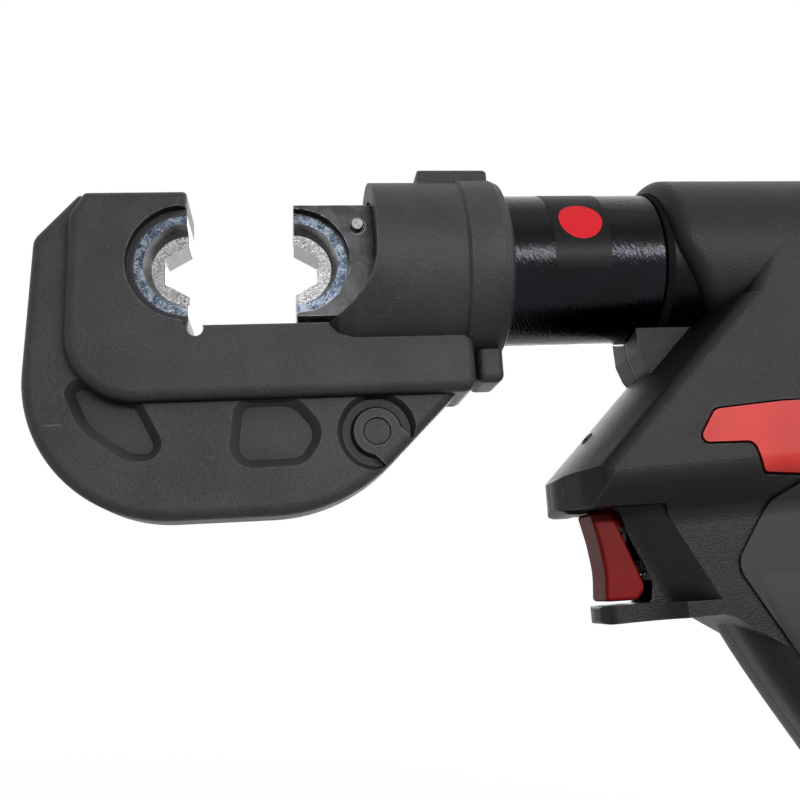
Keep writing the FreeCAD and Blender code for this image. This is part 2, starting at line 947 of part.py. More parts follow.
def trigger():
    outline = [
        (-38.6, -104.2, 1.5),
        (-36, -116, 40),
        (-34.4, -128, 40),
        (-35.4, -139.4, 1.5),
        (-22.5, -139.4, 4),
        (-18.6, -135, 4),
        (-24.5, -118, 30),
        (-29.5, -104.2, 2),
    ]
    blade = slab(outline, trigger_half, swivel_x)
    blade = soften(blade, 1.6, lambda box: on_side(box, trigger_half) and box.XMin < swivel_x - 33
                   and box.ZMax - box.ZMin > 5)
    neck = [(-34.5, -106, 0), (-31.5, -96.5, 0), (-23, -96.5, 0), (-24, -112, 0)]
    neck = slab(neck, trigger_neck_half, swivel_x)
    hub = rod_y(trigger_hub, -trigger_neck_half, trigger_neck_half, swivel_x + trigger_x, trigger_z)
    hole = rod_y(trigger_pin_radius + running_fit, -20, 20, swivel_x + trigger_x, trigger_z)
    return blade.fuse([neck, hub]).cut(hole)


def trigger_pin():
    return rod_y(trigger_pin_radius, -17.5, 17.5, swivel_x + trigger_x, trigger_z)


def trigger_spring():
    return coil_x(2.6, 0.45, swivel_x - 21.4, swivel_x - 14.4, 4, 0, -127)


def trigger_switch():
    case = block(swivel_x - 14, swivel_x + 4, -switch_half, switch_half, -132, -106)
    case = soften(case, 1.2, lambda box: box.ZMax - box.ZMin > 20)
    plunger = rod_x(2.2, swivel_x - 22.2, swivel_x - 13.5, 0, -114)
    return case.fuse(plunger)


def retract_lever():
    skin_form = body_form(0.7).common(band(lever_outline(), -60, 0, swivel_x))
    blade = skin_form.cut(body_form(0.7 - lever_thickness))
    knuckle = rod_z(3.0, -79.5, -71.5, swivel_x + lever_hinge_x, -lever_hinge_y)
    web = block(swivel_x + lever_hinge_x - 1.5, swivel_x + lever_hinge_x + 3, -body_radius + 2,
                -lever_hinge_y, -79.5, -75.5)
    hole = rod_z(lever_pin_radius + running_fit, -90, -60, swivel_x + lever_hinge_x, -lever_hinge_y)
    return blade.fuse([knuckle, web]).cut(hole)


# Pump and drive

def swivel_ring():
    ring = tube_x(barrel_radius + 0.6, spigot_radius + 0.4, barrel_rear + 0.3, swivel_x)
    return soften(ring, 0.6, lambda box: box.XMax < barrel_rear + 0.4 and box.ZMax > 30)


pump_front = 20.0
pump_length = 48.0
motor_length = body_length - tail_gap - gearbox_length - pump_length - pump_front


def pump_block():
    nose = rod_x(barrel_radius + 0.6, swivel_x, swivel_x + pump_front)
    half = pump_half
    body = block(swivel_x + pump_front, swivel_x + pump_front + pump_length, -half, half, -half, half)
    body = soften(body, 3, lambda box: box.XMax - box.XMin > 20)
    bore = rod_x(spigot_radius + running_fit, swivel_x - 1, clip_place() - 1)
    clip_room = rod_x(spigot_radius + 4, clip_place() - 1, barrel_rear + spigot_length + 1)
    crank = rod_x(lobe_radius + lobe_throw + 4, crank_front(), swivel_x + pump_front + pump_length + 1)
    plunger_bore = rod_z(5 + running_fit, -half - 1, 0, crank_middle(), 0)
    port = rod_x(3, barrel_rear + spigot_length, crank_front() + 1, 0, 0)
    return nose.fuse(body).cut([bore, clip_room, crank, plunger_bore, port])


def crank_front():
    return swivel_x + pump_front + 20


def crank_middle():
    return crank_front() + 12


def pump_plunger():
    top = -(lobe_radius + lobe_throw + running_fit)
    return rod_z(5, -pump_half + 2, top, crank_middle(), 0)


def eccentric_shaft():
    end = swivel_x + pump_front + pump_length - 0.5
    shaft = rod_x(shaft_radius, crank_front() + 2, end)
    lobe = rod_x(lobe_radius, crank_middle() - 5, crank_middle() + 5, 0, -lobe_throw)
    return shaft.fuse(lobe)


def gearbox():
    start = swivel_x + pump_front + pump_length
    case = rod_x(gearbox_radius, start, start + gearbox_length)
    case = soften(case, 2, lambda box: box.XMin > start + 1)
    return case.cut(rod_x(shaft_radius + 1, start - 1, start + 1))


def motor():
    start = swivel_x + pump_front + pump_length + gearbox_length
    can = rod_x(motor_radius, start, start + motor_length)
    slots = []
    for index in range(6):
        slot = block(start + 12, start + 24, motor_radius - 2, motor_radius + 3, -4, 4)
        slot.rotate(vec(0, 0, 0), X_AXIS, 60 * index)
        slots.append(slot)
    bearing = rod_x(8, start + motor_length, start + motor_length + 4)
    return can.cut(slots).fuse(bearing)


def reservoir():
    """The soft oil bag below the pump."""
    bag = block(swivel_x + 22, swivel_x + 36, -21, 21, -62, -pump_half)
    return soften(bag, 5, lambda box: box.ZMin < -60 or box.ZMax - box.ZMin > 20)


def release_valve():
    left = swivel_x + 41
    stem = block(left, left + 16, -21, -5, -80, -pump_half)
    stem = soften(stem, 2, lambda box: box.ZMax - box.ZMin > 20)
    valve = rod_y(4, -27.5, -20, left + 8, -76)
    return stem.fuse(valve)


def control_board():
    floor = foot_level + shoe_plug_height
    board = block(swivel_x + 70, swivel_x + 140, -25, 25, floor, floor + 1.6)
    chips = []
    for index in range(4):
        x = swivel_x + 78 + 15 * index
        chips.append(block(x, x + 9, -9, 9, floor + 1.6, floor + 4))
    return board.fuse(chips)


# Battery

battery_front = foot_front - 2
battery_rear = foot_rear + 2
battery_half = 38.0
battery_top = foot_level - slide_gap
battery_height = 46.0


def shoe_plug(clearance):
    left = swivel_x + foot_front + 22 - clearance
    right = swivel_x + foot_rear - 4 + clearance
    half = handle_half + clearance
    return block(left, right, -half, half, foot_level - 1, foot_level + shoe_plug_height)


def battery_shoe():
    """The T rail under the foot that the battery slides along."""
    plug = shoe_plug(0)
    stem = block(swivel_x + 66, swivel_x + 148, -shoe_stem_half, shoe_stem_half,
                 foot_level - shoe_step, foot_level + 1)
    rail = block(swivel_x + 66, swivel_x + 148, -shoe_flange_half, shoe_flange_half,
                 foot_level - shoe_step - 5, foot_level - shoe_step)
    plug = plug.common(block(swivel_x, swivel_x + 300, -60, 60, foot_level, foot_level + 10))
    return plug.fuse([stem, rail])


def cell_places():
    first = battery_front + battery_wall + 1 + cell_radius
    pitch = 2 * cell_radius + 0.2
    return [first + pitch * index for index in range(cell_count)]


def cell_level():
    return battery_top - battery_height + battery_wall + 0.3 + cell_radius


def battery_case():
    left = swivel_x + battery_front
    right = swivel_x + battery_rear
    bottom = battery_top - battery_height
    case = block(left, right, -battery_half, battery_half, bottom, battery_top)
    case = soften(case, 9, lambda box: box.ZMax - box.ZMin > 20)
    case = soften(case, 4, lambda box: box.ZMax < bottom + 0.01)
    cells = cell_places()
    room = block(swivel_x + cells[0] - cell_radius - 0.5, swivel_x + cells[-1] + cell_radius + 0.5,
                 -cell_length / 2 - 0.4, cell_length / 2 + 0.4, bottom + battery_wall, cell_level() + 11.2)
    gap = slide_gap
    throat = block(swivel_x + 66 - gap, right + 1, -shoe_stem_half - gap, shoe_stem_half + gap,
                   foot_level - shoe_step, battery_top + 1)
    rail = block(swivel_x + 66 - gap, right + 1, -shoe_flange_half - gap, shoe_flange_half + gap,
                 foot_level - shoe_step - 5 - gap, foot_level - shoe_step + gap)
    return case.cut([room, throat, rail, latch_pocket()])


def latch_pocket():
    left = swivel_x + battery_front
    return block(left - 1, left + 15, -13 - slide_gap, 13 + slide_gap, battery_top - 15, battery_top - 4)


def battery_latch():
    left = swivel_x + battery_front
    button = block(left - 1.5, left + 8, -13, 13, battery_top - 15 + slide_gap, battery_top - 4 - slide_gap)
    return soften(button, 1.5, lambda box: box.XMax < left - 1.4 or box.XMax - box.XMin > 8)


def latch_spring():
    left = swivel_x + battery_front
    return coil_x(2.6, 0.45, left + 8.1, left + 15, 3, 0, battery_top - 9.5)


def battery_cell(x):
    return rod_y(cell_radius, -cell_length / 2, cell_length / 2, swivel_x + x, cell_level())


def all_parts():
    parts = {
        "c_frame": c_frame(),
        "frame_cross_pin": frame_cross_pin(),
        "fixed_die": fixed_die(),
        "fixed_button_bush": button_bush(-1, 1),
        "fixed_die_button": release_button(-1, 1),
        "fixed_button_spring": button_spring(-1, 1),
        "barrel": barrel(),
        "barrel_label": barrel_label(),
        "gland_bush": gland_bush(),
        "rod_seal": rod_seal(),
        "swivel_seal": swivel_ring_seal(),
        "swivel_clip": swivel_clip(),
        "ram_head": ram_head(),
        "ram_rod": ram_rod(),
        "moving_die": moving_die(),
        "moving_button_bush": button_bush(1, -1),
        "moving_die_button": release_button(1, -1),
        "moving_button_spring": button_spring(1, -1),
        "piston_seal": piston_seal(),
        "guide_band": guide_band(),
        "return_spring": return_spring(),
        "swivel_ring": swivel_ring(),
        "pump_block": pump_block(),
        "pump_plunger": pump_plunger(),
        "eccentric_shaft": eccentric_shaft(),
        "gearbox": gearbox(),
        "motor": motor(),
        "reservoir": reservoir(),
        "release_valve": release_valve(),
        "housing_left": housing_left(),
        "housing_right": housing_right(),
        "nose_cap": nose_cap(),
        "grip_sleeve": grip_sleeve(),
        "trigger": trigger(),
        "trigger_pin": trigger_pin(),
        "trigger_spring": trigger_spring(),
        "trigger_switch": trigger_switch(),
        "retract_lever": retract_lever(),
        "lever_pin": lever_pin(),
        "control_board": control_board(),
        "battery_shoe": battery_shoe(),
        "battery_case": battery_case(),
        "battery_latch": battery_latch(),
        "latch_spring": latch_spring(),
    }
    for index, (x, z) in enumerate(screw_places()):
        parts["housing_screw_%d" % (index + 1)] = housing_screw(x, z)
    for index, x in enumerate(cell_places()):
        parts["battery_cell_%d" % (index + 1)] = battery_cell(x)
    return parts


def main():
    os.makedirs("parts", exist_ok=True)
    for name, shape in all_parts().items():
        solids = shape.Solids
        print(name, "solids", len(solids), "valid", shape.isValid(), "volume", round(shape.Volume))
        if len(solids) == 1:
            shape = solids[0]
        shape.exportStep("parts/%s.step" % name)


main()
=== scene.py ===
import math

import bmesh
import bpy
from mathutils import Matrix, Vector


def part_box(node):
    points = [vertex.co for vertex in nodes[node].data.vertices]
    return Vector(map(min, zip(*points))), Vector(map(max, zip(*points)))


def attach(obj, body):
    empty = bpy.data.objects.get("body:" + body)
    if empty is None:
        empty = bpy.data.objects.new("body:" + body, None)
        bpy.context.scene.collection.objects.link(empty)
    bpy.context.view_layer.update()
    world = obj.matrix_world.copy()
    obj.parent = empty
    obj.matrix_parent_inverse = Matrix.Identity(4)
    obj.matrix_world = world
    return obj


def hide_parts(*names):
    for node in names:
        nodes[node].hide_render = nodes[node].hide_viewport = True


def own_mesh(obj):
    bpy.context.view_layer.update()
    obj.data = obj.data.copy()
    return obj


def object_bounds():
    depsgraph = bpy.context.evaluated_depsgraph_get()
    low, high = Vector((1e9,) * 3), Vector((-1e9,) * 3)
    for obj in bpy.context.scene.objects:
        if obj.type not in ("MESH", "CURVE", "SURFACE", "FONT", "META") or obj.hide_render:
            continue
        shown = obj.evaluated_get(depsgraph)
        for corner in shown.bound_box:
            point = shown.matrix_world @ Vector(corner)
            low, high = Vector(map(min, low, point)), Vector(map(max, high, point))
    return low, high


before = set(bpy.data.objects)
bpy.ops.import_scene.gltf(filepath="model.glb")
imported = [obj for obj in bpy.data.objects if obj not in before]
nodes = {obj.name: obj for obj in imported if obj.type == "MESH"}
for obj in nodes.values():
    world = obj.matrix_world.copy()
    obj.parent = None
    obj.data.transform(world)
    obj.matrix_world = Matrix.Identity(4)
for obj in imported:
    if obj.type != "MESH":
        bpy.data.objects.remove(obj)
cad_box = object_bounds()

# Camera. It stands where the photograph was taken from: ahead of the battery and below the barrel,
# turned a little to the body and tilted up. Its angles are in radians, and its frame is square.
camera_place = Vector((0.034626, -0.363944, -0.129975))
camera_turn = 0.132
camera_tilt = 0.204
camera_roll = -0.060
focal_pixels = 915.886
frame_pixels = 800
sensor_width = 36

forward = Vector((
    math.sin(camera_turn) * math.cos(camera_tilt),
    math.cos(camera_turn) * math.cos(camera_tilt),
    math.sin(camera_tilt),
))
level_right = Vector((math.cos(camera_turn), -math.sin(camera_turn), 0))
level_up = level_right.cross(forward)
right = math.cos(camera_roll) * level_right + math.sin(camera_roll) * level_up
up = math.cos(camera_roll) * level_up - math.sin(camera_roll) * level_right
camera_axes = Matrix((right, up, -forward)).transposed()
camera_data = bpy.data.cameras.new("photo_camera")
camera_data.sensor_width = sensor_width
camera_data.lens = sensor_width * focal_pixels / frame_pixels
camera = bpy.data.objects.new("photo_camera", camera_data)
camera.matrix_world = Matrix.Translation(camera_place) @ camera_axes.to_4x4()
bpy.context.scene.collection.objects.link(camera)
bpy.context.scene.camera = camera


# C-frame. One steel forging with the jaw, the round collar for the cylinder and the thinner web
# below. It is shot blasted and coated matt black, and the coat is rubbed grey along the edges.
class Signal:
    """A shader socket. Sums, products and powers of signals add the Math nodes they need."""

    def __init__(self, socket):
        self.socket = socket

    def node(self, kind, sockets, output=0, **settings):
        """Adds a node of that kind: first its settings, then the values or links of its sockets."""
        tree = self.socket.id_data
        made = tree.nodes.new("ShaderNode" + kind)
        for name, value in settings.items():
            setattr(made, name, value)
        for name, value in sockets.items():
            if isinstance(value, Signal):
                tree.links.new(value.socket, made.inputs[name])
            else:
                made.inputs[name].default_value = value
        return Signal(made.outputs[output])

    def maths(self, operation, first, second=0.0):
        return self.node("Math", {0: first, 1: second}, operation=operation)

    def __add__(self, other):
        return self.maths("ADD", self, other)

    __radd__ = __add__

    def __sub__(self, other):
        return self.maths("SUBTRACT", self, other)

    def __rsub__(self, other):
        return self.maths("SUBTRACT", other, self)

    def __mul__(self, other):
        return self.maths("MULTIPLY", self, other)

    __rmul__ = __mul__

    def __pow__(self, other):
        return self.maths("POWER", self, other)

    def most(self, other):
        """The larger of the two."""
        return self.maths("MAXIMUM", self, other)

    def unsigned(self):
        return self.maths("ABSOLUTE", self)

    def within(self, low, high):
        """0 below low, 1 above high, and a smooth rise between them."""
        sockets = {"Value": self, "From Min": low, "From Max": high}
        return self.node("MapRange", sockets, interpolation_type="SMOOTHSTEP")

    def tint(self, first, second):
        """The first colour where this signal is 0, and the second where it is 1."""
        sockets = {0: self, 6: first, 7: second}
        return self.node("Mix", sockets, output=2, data_type="RGBA")

    def noise(self, size, detail=2.0, roughness=0.5, stretch=(1, 1, 1)):
        """Noise with lumps of about that size in metres, longer where stretch is over 1."""
        scale = [1 / (size * factor) for factor in stretch]
        spread = self.node("Mapping", {"Vector": self, "Scale": scale})
        sockets = {"Vector": spread, "Scale": 1.0, "Detail": detail, "Roughness": roughness}
        return self.node("TexNoise", sockets, output="Fac")

    def axis(self, name):
        return self.node("SeparateXYZ", {"Vector": self}, output=name)

    def length(self):
        return self.node("VectorMath", {0: self}, output="Value", operation="LENGTH")


def grey(level, blue=0.0):
    """A linear grey; its blue is raised by that share, and its green by a sixth of it."""
    return (level, level * (1 + blue / 6), level * (1 + blue), 1)


def finish(name, roughness, metallic=0.0, specular=0.5):
    """A new material: its shader, and the place on the surface in metres, which moves with it."""
    material = bpy.data.materials.new(name)
    material.use_nodes = True
    shader = material.node_tree.nodes["Principled BSDF"]
    shader.inputs["Roughness"].default_value = roughness
    shader.inputs["Metallic"].default_value = metallic
    shader.inputs["Specular IOR Level"].default_value = specular
    place = Signal(shader.inputs["Base Color"]).node("TexCoord", {}, output="Object")
    return material, shader, place


def feed(shader, name, signal):
    shader.id_data.links.new(signal.socket, shader.inputs[name])


def emboss(shader, height, depth):
    """Gives the surface relief, with height from 0 to 1 standing for depth in metres."""
    sockets = {"Height": height, "Distance": depth, "Strength": 1.0}
    feed(shader, "Normal", height.node("Bump", sockets))


edge_samples = 4
edge_turn = (0.02, 0.25)


def edges(place, reach):
    """1 on an edge, and 0 on a flat, from how far rounding by reach turns the surface there."""
    rounded = place.node("Bevel", {"Radius": reach}, samples=edge_samples)
    flat = place.node("NewGeometry", {}, output="Normal")
    sockets = {0: rounded, 1: flat}
    agree = place.node("VectorMath", sockets, output="Value", operation="DOT_PRODUCT")
    return (1 - agree).within(*edge_turn)


def worn_edges(place, reach, patch, share):
    """The edges where wear has taken them, in patches; share is where the noise turns to wear."""
    return edges(place, reach) * place.noise(patch, detail=3).within(*share)


corner_samples = 8
corner_shade = (0.5, 0.97)


def free_of_painted_shade(place, reach):
    """1 in the open, and 0 deep in a slot or a corner of about that reach, where shade is painted.
    """
    sockets = {"Distance": reach}
    lit = place.node("AmbientOcclusion", sockets, output="AO", samples=corner_samples)
    return lit.within(*corner_shade)


def marks(place, size, share, patch, patch_share, detail=2.0, length=1):
    """1 on small marks that gather in patches; each share is where the noise turns to them."""
    small = place.noise(size, detail=detail, stretch=(length, 1, 1)).within(*share)
    return small * place.noise(patch).within(*patch_share)


def dress(material, *names):
    for name in names:
        for slot in nodes[name].material_slots:
            slot.material = material


half_share = (0.3, 0.7)
grain_share = (0.35, 0.65)
black_specular = 0.15
forging_dark = grey(0.025, 0.08)
forging_light = grey(0.05, 0.08)
forging_rubbed = grey(0.16, 0.03)
# Painted shade: the coat turns near black in the frame's corners, pockets and slots.
forging_painted_shade = grey(0.012, 0.05)
forging_cloud = 0.022
forging_grain = 0.0009
forging_dent = 0.0022
forging_relief = 0.0004
forging_corner = 0.014
forging_smoothest = 0.33
edge_wear = 0.7
scuff_wear = 0.4
forged_black, shader, place = finish("forged_black", 0.55, specular=black_specular)
cloud = place.noise(forging_cloud, detail=4)
grain = place.noise(forging_grain, detail=3, roughness=0.7)
dents = place.noise(forging_dent, detail=2)
specks = marks(place, size=0.0009, share=(0.74, 0.78), patch=0.006, patch_share=(0.52, 0.6))
scuffs = marks(place, size=0.0016, share=(0.68, 0.75), patch=0.017, patch_share=(0.55, 0.68),
               length=9)
rubbed = worn_edges(place, reach=0.0014, patch=0.004, share=(0.3, 0.6)) * edge_wear
mottle = cloud.within(*half_share) * 0.5 + grain.within(*grain_share) * 0.5
worn = rubbed.most(specks.most(scuffs * scuff_wear))
coat = worn.tint(mottle.tint(forging_dark, forging_light), forging_rubbed)
# Painted shade from ambient occlusion darkens the coat in corners and pockets.
feed(shader, "Base Color", free_of_painted_shade(place, forging_corner).tint(forging_painted_shade, coat))
feed(shader, "Roughness", cloud * 0.12 + grain * 0.1 + forging_smoothest)
emboss(shader, grain * 0.7 + dents * 0.4, forging_relief)
dress(forged_black, "c_frame")


# Cross pin. A steel pin pressed through the web's boss, turned on its two end faces and coated
# with the frame, so the rings of the turning tool still show.
pin_dark = grey(0.02, 0.05)
pin_light = grey(0.036, 0.05)
pin_ring = 0.00035
pin_grime = 0.0015
pin_relief = 0.00005
pin_smoothest = 0.32
pin_low, pin_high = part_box("frame_cross_pin")
pin_x = (pin_low.x + pin_high.x) / 2
pin_z = (pin_low.z + pin_high.z) / 2
pin_black, shader, place = finish("pin_black", 0.42, specular=black_specular)
from_centre = place.node("VectorMath", {0: place, 1: (pin_x, 0, pin_z)}, operation="SUBTRACT")
flat_place = place.node("VectorMath", {0: from_centre, 1: (1, 0, 1)}, operation="MULTIPLY")
turns = flat_place.length() * (2 * math.pi / pin_ring)
rings = place.maths("SINE", turns) * 0.5 + 0.5
grime = place.noise(pin_grime, detail=4)
feed(shader, "Base Color", grime.within(*half_share).tint(pin_dark, pin_light))
feed(shader, "Roughness", grime * 0.25 + pin_smoothest)
emboss(shader, rings * 0.4 + grime, pin_relief)
dress(pin_black, "frame_cross_pin")


# Crimping dies. Two steel half rings with a hexagonal nest, zinc plated: the side faces are bluish
# and glitter, the turned bore and the nest's flats are smooth, and the step between them is grainy.
plating_dark = (0.012, 0.018, 0.03, 1)
plating_light = (0.14, 0.16, 0.19, 1)
bore_dark = grey(0.2, 0.02)
bore_light = grey(0.34, 0.01)
step_dark = grey(0.06, 0.04)
step_light = grey(0.19, 0.02)
tarnish_size = 0.004
glitter_size = 0.0006
crystal_size = 0.0009
turned_size = 0.0025
side_turn = (0.5, 0.9)
plating_share = (0.4, 0.66)
crystal_share = (0.3, 0.72)
side_start = 0.0006
side_full = 0.0002
die_relief = 0.00012
die_smoothest = 0.1
die_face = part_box("fixed_die")[1].y
die_zinc, shader, place = finish("die_zinc", 0.3, metallic=1.0)
across = place.axis("Y").unsigned()
facing = place.node("TexCoord", {}, output="Normal").axis("Y").unsigned()
facing = facing.within(*side_turn)
side_face = facing * across.within(die_face - side_start, die_face - side_full)
step_face = facing - side_face
tarnish = place.noise(tarnish_size, detail=4, roughness=0.6)
glitter = place.noise(glitter_size, detail=3, roughness=0.7)
crystal = place.noise(crystal_size, detail=4, roughness=0.7)
plating = tarnish * 0.45 + glitter * 0.55
plated = plating.within(*plating_share).tint(plating_dark, plating_light)
turned = place.noise(turned_size, detail=3, stretch=(1, 8, 1)).tint(bore_dark, bore_light)
grainy = crystal.within(*crystal_share).tint(step_dark, step_light)
feed(shader, "Base Color", side_face.tint(step_face.tint(turned, grainy), plated))
feed(shader, "Roughness", tarnish * 0.2 + glitter * 0.16 + die_smoothest)
emboss(shader, facing * crystal + glitter * 0.2, die_relief)
dress(die_zinc, "fixed_die", "moving_die")


# Ram head. A turned steel half cup that carries the moving die, phosphated nearly black; its edges
# and the seat are rubbed bright where dies have been pushed in and out.
ram_dark = grey(0.01)
ram_light = grey(0.04, 0.1)
ram_bright = grey(0.3, 0.03)
smear_size = 0.006
smear_share = (0.35, 0.7)
tool_mark_size = 0.0004
ram_relief = 0.00006
ram_smoothest = 0.18
ram_steel, shader, place = finish("ram_steel", 0.35, metallic=0.6)
smear = place.noise(smear_size, detail=5, roughness=0.6)
tool_marks = place.noise(tool_mark_size, detail=2, stretch=(1, 30, 30))
polished = worn_edges(place, reach=0.0006, patch=0.0035, share=(0.4, 0.55))
phosphated = smear.within(*smear_share).tint(ram_dark, ram_light)
feed(shader, "Base Color", polished.tint(phosphated, ram_bright))
feed(shader, "Roughness", smear * 0.3 + tool_marks * 0.12 + ram_smoothest)
emboss(shader, tool_marks + smear * 0.5, ram_relief)
dress(ram_steel, "ram_head", "fixed_button_bush", "moving_button_bush")


# Release buttons, rod, shafts and pins. Small pieces of ground steel, turned from bar and left
# bare, so they are bright where they slide and stained elsewhere.
steel_bright = grey(0.17, 0.03)
steel_stained = grey(0.08, 0.03)
drawn_size = 0.0005
stain_size = 0.0022
stain_share = (0.35, 0.75)
plain_relief = 0.00004
plain_smoothest = 0.15
plain_steel, shader, place = finish("plain_steel", 0.3, metallic=1.0)
drawn = place.noise(drawn_size, detail=3, stretch=(1, 12, 1))
stain = place.noise(stain_size, detail=4)
feed(shader, "Base Color", stain.within(*stain_share).tint(steel_bright, steel_stained))
feed(shader, "Roughness", drawn * 0.2 + stain * 0.2 + plain_smoothest)
emboss(shader, drawn, plain_relief)
dress(plain_steel, "fixed_die_button", "moving_die_button", "ram_rod", "pump_plunger",
      "eccentric_shaft", "trigger_pin", "lever_pin")


# Cylinder barrel. Turned from steel bar and blued black; the fine rings of the last cut run round
# it and break its long highlight into short strokes.
blued_warm = (0.0125, 0.011, 0.0115, 1)
blued_cold = (0.0125, 0.013, 0.016, 1)
cut_size = 0.00045
stroke_size = 0.0007
stroke_slant = 0.35
blueing_size = 0.03
blueing_share = (0.35, 0.65)
handling_size = 0.0045
barrel_relief = 0.00022
barrel_smoothest = 0.08
barrel_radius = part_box("barrel")[1].z
barrel_black, shader, place = finish("barrel_black", 0.2, metallic=1.0)
around = place.maths("ARCTAN2", place.axis("Z"), place.axis("Y")) * barrel_radius
unrolled = place.node("CombineXYZ", {"X": place.axis("X"), "Y": around, "Z": 0.0})
cut_rings = unrolled.noise(cut_size, detail=3, roughness=0.6, stretch=(1, 14, 1))
sockets = {"Vector": unrolled, "Angle": stroke_slant}
slanted = unrolled.node("VectorRotate", sockets, rotation_type="Z_AXIS")
strokes = slanted.noise(stroke_size, detail=2, stretch=(1, 5, 1))
blueing = place.noise(blueing_size, detail=3)
handling = place.noise(handling_size, detail=5, roughness=0.65)
feed(shader, "Base Color", blueing.within(*blueing_share).tint(blued_warm, blued_cold))
feed(shader, "Roughness", cut_rings * 0.08 + handling * 0.1 + barrel_smoothest)
emboss(shader, cut_rings * 0.4 + strokes, barrel_relief)
dress(barrel_black, "barrel")


# Sticker. A thin dark film stuck round the near side of the barrel, satin and a little dusty.
# One plain red disc is printed on it.
film_dark = grey(0.006)
film_light = grey(0.014)
disc_red = (0.6, 0.02, 0.03, 1)
disc_radius = 0.0089
disc_x = 0.1564
disc_arc = 0.0115
disc_blur = 0.0001
lint_size = 0.0012
film_relief = 0.00003
film_smoothest = 0.24
film_specular = 0.06
label_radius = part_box("barrel_label")[1].z
film, shader, place = finish("label_film", 0.32, specular=film_specular)
round_barrel = place.maths("ARCTAN2", place.axis("Z"), 0 - place.axis("Y")) * label_radius
from_disc_x = place.axis("X") - disc_x
from_disc_arc = round_barrel - disc_arc
from_disc = (from_disc_x * from_disc_x + from_disc_arc * from_disc_arc) ** 0.5
disc = 1 - from_disc.within(disc_radius - disc_blur, disc_radius + disc_blur)
lint = place.noise(lint_size, detail=4, roughness=0.7)
feed(shader, "Base Color", disc.tint(lint.tint(film_dark, film_light), disc_red))
feed(shader, "Roughness", lint * 0.2 + film_smoothest)
emboss(shader, lint, film_relief)
dress(film, "barrel_label")


# Gland bush and guide band. Cast bronze, turned to fit the rod and the cylinder's bore, so the
# marks of the tool run round them.
def marked(name, roughness, size, detail, colours, smoothest, duller, relief,
           metallic=0.0, specular=0.5, stretch=(1, 1, 1), share=None):
    """A material with one kind of mark, of that size, in its colours and its relief. Its
    roughness is the smoothest between the marks, and duller by that much on them."""
    material, shader, place = finish(name, roughness, metallic, specular)
    mark = place.noise(size, detail=detail, stretch=stretch)
    colour = mark.within(*share) if share else mark
    feed(shader, "Base Color", colour.tint(*colours))
    feed(shader, "Roughness", mark * duller + smoothest)
    emboss(shader, mark, relief)
    return material


bronze_colours = (0.42, 0.26, 0.1, 1), (0.62, 0.42, 0.2, 1)
bronze = marked("bronze", 0.3, metallic=1.0, size=0.0005, detail=2, stretch=(1, 20, 20),
                colours=bronze_colours, smoothest=0.2, duller=0.2, relief=0.00004)
dress(bronze, "gland_bush", "guide_band")


# Seals and oil bag. Moulded nitrile rubber. The seals are pressed into their grooves, and the bag
# holds the oil under the pump. A pale bloom has come out of the rubber in places.
seal_rubber = marked("seal_rubber", 0.55, size=0.002, detail=4, share=(0.3, 0.8),
                     colours=(grey(0.018), grey(0.04)), smoothest=0.4, duller=0.3,
                     relief=0.00006)
dress(seal_rubber, "rod_seal", "piston_seal", "swivel_seal", "reservoir")


# Springs and clip. Drawn spring wire, bare and bright, wound or bent cold. Each spring stands
# between two seats and is pressed together as its joint moves.
spring_steel = marked("spring_steel", 0.3, metallic=1.0, size=0.0004, detail=3,
                      colours=(grey(0.2, 0.05), grey(0.42, 0.03)), smoothest=0.2, duller=0.25,
                      relief=0.00003)
dress(spring_steel, "return_spring", "swivel_clip", "fixed_button_spring",
      "moving_button_spring", "trigger_spring", "latch_spring")


def working_spring(name, body):
    """A stand-in for that spring with a mesh of its own, hung on that body in its place; the spring
    is hidden.
    """
    made = bpy.data.objects.new(name + "_working", nodes[name].data.copy())
    made.matrix_world = nodes[name].matrix_world
    bpy.context.scene.collection.objects.link(made)
    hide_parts(name)
    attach(made, body)
    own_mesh(made)


working_spring("return_spring", "head")
working_spring("fixed_button_spring", "head")
working_spring("moving_button_spring", "ram")
working_spring("trigger_spring", "body")
working_spring("latch_spring", "battery")


# Body shell. Two moulded halves of glass filled nylon and a separate nose cap, screwed together
# along the middle. The mould gives a fine even grain, and handling leaves the edges greyer.
# Painted shade in corners and slots, and also the colour of the parting line's groove.
shell_shade_and_seam = grey(0.005)
shell_dark = grey(0.010, 0.01)
shell_light = grey(0.020, 0.02)
shell_rubbed = grey(0.1, 0.02)
shell_grain = 0.0008
shell_flow = 0.04
shell_corner = 0.03
shell_relief = 0.0003
shell_smoothest = 0.28
shell_specular = 0.13
shell_wear = 0.45
dust_strength = 0.8
seam_half = 0.0006
seam_core = 0.6
seam_end = 1.4
seam_depth = 2


